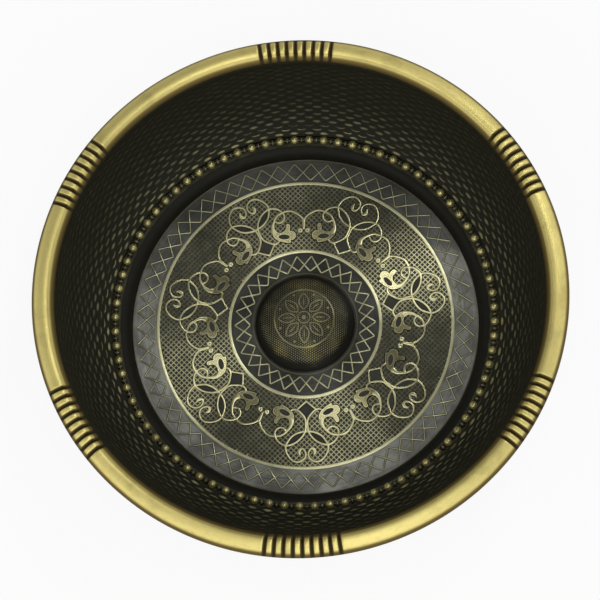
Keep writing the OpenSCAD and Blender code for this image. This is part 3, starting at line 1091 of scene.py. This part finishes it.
def hatched_ground(s):
    """Crossed hatching between the two circles, left unrubbed in the scrollwork's plain fields.

    The grid runs at 45 degrees. Every cell has four lines each way, two on a flat ridge and two at the
    edges of a pit's bottom, and a point's height is the larger of its two ridges. Points beyond the band
    are drawn in to its circles and down into the plate, and faces wholly beyond are left out.
    """
    low, high = HATCHED_BAND
    count = int(high / s.hatch_pitch) + 2
    cell = np.arange(-count, count)[:, None]
    at = ((cell + np.array(HATCH_CELL)) * s.hatch_pitch).ravel()
    ridge = np.tile([1.0, 1.0, 0.0, 0.0], len(cell))
    u, v = np.meshgrid(at, at, indexing="ij")
    crest = np.maximum(ridge[:, None], ridge)
    xy = np.stack([(u - v), (u + v)], -1) / math.sqrt(2)
    r = np.hypot(xy[..., 0], xy[..., 1])
    kept = (r > low) & (r < high)
    xy = xy * (np.clip(r, low, high) / np.maximum(r, 1e-6))[..., None]
    flat = grid(np.concatenate([xy, np.zeros_like(u)[..., None]], -1), worn=crest)
    used = kept.ravel()[flat.faces].any(1)
    index, faces = np.unique(flat.faces[used], return_inverse=True)
    points = flat.points[index]
    crest = flat.values["worn"][index]
    height = HATCH_BOTTOM + (HATCH_TOP - HATCH_BOTTOM) * crest
    points[:, 2] = s.floor + np.where(kept.ravel()[index], height, -SEAM)
    return Patch(points, faces.reshape(-1, 4), {"worn": crest * ~in_plain_field(s, points[:, :2])})


def boss_shell(s):
    """The boss: a stippled dome, its hollow underneath and its brim.

    The stipple adds the mean of three cosines at 60 degrees to each other, seen from above, and fades
    on the steep foot.
    """
    t = np.linspace(0, 90, 115)
    out_r, out_z = s.boss_radius * np.sin(np.radians(t)), s.boss_rise * np.cos(np.radians(t))
    angles = even_angles(560)
    x, y = out_r * np.cos(angles)[:, None], out_r * np.sin(angles)[:, None]
    row_gap = 0.866 * s.stipple_pitch
    k = TURN / row_gap
    dots = sum(np.cos(k * (x * math.cos(a) + y * math.sin(a))) for a in np.radians([0, 60, 120])) / 3
    fade = smooth(s.boss_radius - out_r, 0.5, 2.5)
    lift = 0.06 * dots * fade
    # Painted shade: the dome's colour goes black towards its steep foot.
    steep = smooth(s.boss_radius - out_r, 0.4, 3.6)
    worn = np.clip(0.35 + 0.9 * dots, 0, 1) * steep
    hollow = s.boss_radius - s.boss_sheet
    upper = s.pan_sheet - SEAM
    lower = s.pan_sheet - RECESS + SEAM
    brim = np.array([
        [s.boss_radius, upper], [s.brim_radius, upper], [s.brim_radius, lower], [hollow, lower],
    ])
    under = ellipse((0, s.floor), (hollow, s.boss_rise - s.boss_sheet), 0, 90, 40)
    rest = np.concatenate([brim, under])
    shape = (len(angles), len(rest))
    r = np.concatenate([out_r, rest[:, 0]])
    z = np.concatenate([s.floor + out_z + lift, np.broadcast_to(rest[:, 1], shape)], 1)
    return revolved(r, z, angles, worn=np.concatenate([worn, np.zeros(shape)], 1))


def boss_rosette(s):
    """A plain rosette on the boss's crown: a ring, eight pointed petals, a centre ring and dots.

    The lines are drawn flat and then lifted on to the dome, which is a quarter ellipse.
    """
    petal = [
        (0.0, 3.0, 0.45), (1.35, 4.6, 0.5), (1.75, 6.2, 0.5), (1.25, 7.9, 0.5), (0.0, 9.6, 0.4),
    ]
    vein = [(0.0, 4.4, 0.35), (0.0, 6.0, 0.5), (0.0, 7.6, 0.3)]
    height = 0.22
    side = raised_line(curve(petal), height, 0.0)
    leaf = joined([side, mirrored(side), raised_line(curve(vein), height, 0.0)])
    dot = raised_line(ring_line(0.25, 0.5, 12, (0.0, 9.6)), height, 0.0, sides=7, closed=True)
    rings = [
        raised_line(ring_line(radius, width, count), height, 0.0, closed=True)
        for radius, width, count in ((11.0, 0.6, 160), (2.2, 0.55, 64), (0.45, 0.9, 24))
    ]
    flat = joined([turned(leaf, even_angles(8)), turned(dot, even_angles(8) + math.pi / 8)] + rings)
    out = np.hypot(flat.points[:, 0], flat.points[:, 1]) / s.boss_radius
    flat.points[:, 2] += s.floor + s.boss_rise * np.sqrt(np.clip(1 - out**2, 0, 1))
    return flat


class BowlOperator:
    """What the bowl's operators share: they make pieces from the sizes in millimetres and the colours."""

    bl_options = {"REGISTER", "UNDO"}

    def execute(self, context):
        sizes = in_mm(context.scene.bowl_sizes)
        sizes.floor = sizes.pan_sheet + sizes.plate_sheet
        colours = context.scene.bowl_colours
        names = [p.identifier for p in colours.bl_rna.properties if p.subtype == "COLOR"]
        self.make(sizes, SimpleNamespace(**{name: tuple(getattr(colours, name)) for name in names}))
        return {"FINISHED"}


class BOWL_OT_rim(BowlOperator, bpy.types.Operator):
    """Make the rolled rim with its grooves"""

    bl_idname = "bowl.rim"
    bl_label = "Rolled Rim"

    def make(self, s, colours):
        finish = polished_brass(colours)
        put_piece("rolled_rim", rim_roll(s), finish, "rim_roll", crease=60)


class BOWL_OT_wire(BowlOperator, bpy.types.Operator):
    """Give the core wire inside the roll its finish"""

    bl_idname = "bowl.wire"
    bl_label = "Core Wire"

    def make(self, s, colours):
        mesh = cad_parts["rim_wire"].data
        mesh.materials.clear()
        mesh.materials.append(drawn_wire(colours))


class BOWL_OT_wall(BowlOperator, bpy.types.Operator):
    """Make the pitted wall"""

    bl_idname = "bowl.wall"
    bl_label = "Pitted Wall"

    def make(self, s, colours):
        finish = antiqued_wall(colours)
        for name, patch in (("wall_lining", wall_lining(s)), ("wall_back", wall_back(s))):
            put_piece(name, patch, finish, "wall_shell", crease=50)


class BOWL_OT_base(BowlOperator, bpy.types.Operator):
    """Make the stepped base"""

    bl_idname = "bowl.base"
    bl_label = "Stepped Base"

    def make(self, s, colours):
        put_piece("stepped_base", base_pan(s), blackened_base(colours), "base_pan")


class BOWL_OT_beads(BowlOperator, bpy.types.Operator):
    """Make the ring of beads"""

    bl_idname = "bowl.beads"
    bl_label = "Ring of Beads"

    def make(self, s, colours):
        put_piece("bead_row", bead_ring(s), bead_brass(colours), "bead_ring", crease=70)


class BOWL_OT_floor(BowlOperator, bpy.types.Operator):
    """Make the floor's plate with its circles, lozenges, hatching and scrollwork"""

    bl_idname = "bowl.floor"
    bl_label = "Patterned Floor"

    def make(self, s, colours):
        golden = blend(colours.circle_brass, colours.brass, 0.1)
        dull = blend(colours.pale_brass, colours.olive, 0.3)
        lines = raised_brass(colours, "raised_brass", golden, 1.0, 0.9)
        circles = raised_brass(colours, "circle_brass", colours.circle_brass, 1.0, 0.58)
        thin_lines = raised_brass(colours, "thin_brass", dull, 0.3, 0.65)
        made = (
            ("floor_plate", floor_plate(s), floor_patina(colours)),
            ("floor_circles", raised_circles(s), circles),
            ("floor_lozenges", lozenge_lines(s), thin_lines),
            ("floor_scrollwork", scrollwork(s), lines),
            ("floor_hatching", hatched_ground(s), hatched_patina(colours)),
        )
        for name, patch, finish in made:
            put_piece(name, patch, finish, "floor_medallion", crease=30)


class BOWL_OT_boss(BowlOperator, bpy.types.Operator):
    """Make the stippled boss and its rosette"""

    bl_idname = "bowl.boss"
    bl_label = "Stippled Boss"

    def make(self, s, colours):
        finish = antiqued_boss(colours)
        for name, patch in (("boss_dome", boss_shell(s)), ("boss_rosette", boss_rosette(s))):
            put_piece(name, patch, finish, "boss", crease=50)


def add_lamp(name, place, size, power):
    """A soft lamp at a place, turned to the bowl."""
    data = bpy.data.lights.new(name, "AREA")
    data.shape = "RECTANGLE"
    data.size, data.size_y = size
    data.energy = power
    lamp = add_object(name, data)
    lamp.location = place
    lamp.rotation_euler = (Vector(place) - Vector(LAMP_AIM)).to_track_quat("Z", "Y").to_euler()


def stage_floor(look):
    """A pale floor that shows white to the camera, keeps the shadow and is open from underneath."""
    mesh = bpy.data.meshes.new("stage_floor")
    reach, low = 6.0, -0.0002
    corners = [(-reach, -reach, low), (reach, -reach, low), (reach, reach, low), (-reach, reach, low)]
    mesh.from_pydata(corners, [], [(0, 1, 2, 3)])
    f = new_finish("stage_floor")
    seen = f.node("ShaderNodeLightPath", out="Is Camera Ray")
    shown = seen.calc("MAXIMUM", seen, seen.also("Is Glossy Ray"))
    shown = shown.calc("MAXIMUM", shown, seen.also("Is Transmission Ray"))
    paper = f.node("ShaderNodeBsdfDiffuse", None, {"Color": tuple(look.floor)})
    white = f.node("ShaderNodeEmission", None, {"Color": (1.0, 1.0, 1.0), "Strength": 1.0})
    top = f.node("ShaderNodeMixShader", None, {0: shown * WHITE_SHARE, 1: paper, 2: white})
    clear = f.node("ShaderNodeBsdfTransparent")
    under = f.node("ShaderNodeNewGeometry", out="Backfacing")
    both = f.node("ShaderNodeMixShader", None, {0: under, 1: top, 2: clear})
    f.node("ShaderNodeOutputMaterial", None, {"Surface": both})
    mesh.materials.append(f.owner)
    floor = add_object("stage_floor", mesh)


def stage_world(look):
    """Soft light from all round, dimmer overhead and behind, and taller at the sides and in front."""
    world = bpy.data.worlds.new("studio")
    bpy.context.scene.world = world
    f = Finish(world)
    x, y, rise = f.split(f.node("ShaderNodeTexCoord", out="Generated"))
    side = f.step(x * 0.3 - y * 0.95, -1.0, -0.2, SKY_BEHIND, 1.0)
    height = rise + y * 0.25 - x.calc("ABSOLUTE", x) * 0.15
    strength = f.step(height, *SKY_BAND, look.horizon, look.overhead) * side
    sky = f.node("ShaderNodeBackground", None, {"Color": (1.0, 1.0, 1.0), "Strength": strength})
    f.node("ShaderNodeOutputWorld", None, {"Surface": sky})


def stage_camera(look):
    """The camera high in front of the bowl, a little to the right, tipped and rolled as it was held."""
    back, up = Vector(CAMERA_BACK), Vector(CAMERA_UP)
    data = bpy.data.cameras.new("camera")
    data.sensor_width = 36.0
    data.lens = look.lens
    data.clip_start = 0.01
    camera = add_object("camera", data)
    place = Matrix((up.cross(back), up, back)).transposed().to_4x4()
    place.translation = CAMERA_PLACE
    camera.matrix_world = place
    bpy.context.scene.camera = camera


class BOWL_OT_stage(bpy.types.Operator):
    """Make the floor, the light and the camera"""

    bl_idname = "bowl.stage"
    bl_label = "Stage"
    bl_options = {"REGISTER", "UNDO"}

    def execute(self, context):
        look = context.scene.stage_look
        context.scene.view_settings.view_transform = "Standard"
        stage_floor(look)
        stage_world(look)
        stage_camera(look)
        for name, (place, size) in LAMPS.items():
            add_lamp(name, place, size, getattr(look, name))
        return {"FINISHED"}


STEPS = (
    BOWL_OT_rim, BOWL_OT_wire, BOWL_OT_wall, BOWL_OT_base, BOWL_OT_beads, BOWL_OT_floor, BOWL_OT_boss,
    BOWL_OT_stage,
)


class BOWL_PT_panel(bpy.types.Panel):
    """Sizes, colours and steps of the bowl"""

    bl_label = "Hammam Bowl"
    bl_idname = "BOWL_PT_panel"
    bl_space_type = "VIEW_3D"
    bl_region_type = "UI"
    bl_category = "Bowl"

    def draw(self, context):
        for step in STEPS:
            self.layout.operator(step.bl_idname, text=step.bl_label)
        for group in (context.scene.bowl_sizes, context.scene.bowl_colours, context.scene.stage_look):
            box = self.layout.box()
            for item in group.bl_rna.properties:
                if item.identifier not in {"rna_type", "name"}:
                    box.prop(group, item.identifier)


CLASSES = (BowlSizes, BowlColours, StageLook) + STEPS + (BOWL_PT_panel,)


def register():
    """Registers the classes and hangs the property groups on the scene."""
    for item in CLASSES:
        bpy.utils.register_class(item)
    bpy.types.Scene.bowl_sizes = bpy.props.PointerProperty(type=BowlSizes)
    bpy.types.Scene.bowl_colours = bpy.props.PointerProperty(type=BowlColours)
    bpy.types.Scene.stage_look = bpy.props.PointerProperty(type=StageLook)


def unregister():
    """Takes away what register added."""
    del bpy.types.Scene.stage_look
    del bpy.types.Scene.bowl_colours
    del bpy.types.Scene.bowl_sizes
    for item in reversed(CLASSES):
        bpy.utils.unregister_class(item)


def main():
    """Makes the bowl and its stage."""
    register()
    bpy.ops.bowl.rim()
    bpy.ops.bowl.wire()
    bpy.ops.bowl.wall()
    bpy.ops.bowl.base()
    bpy.ops.bowl.beads()
    bpy.ops.bowl.floor()
    bpy.ops.bowl.boss()
    bpy.ops.bowl.stage()


if __name__ == "__main__":
    main()
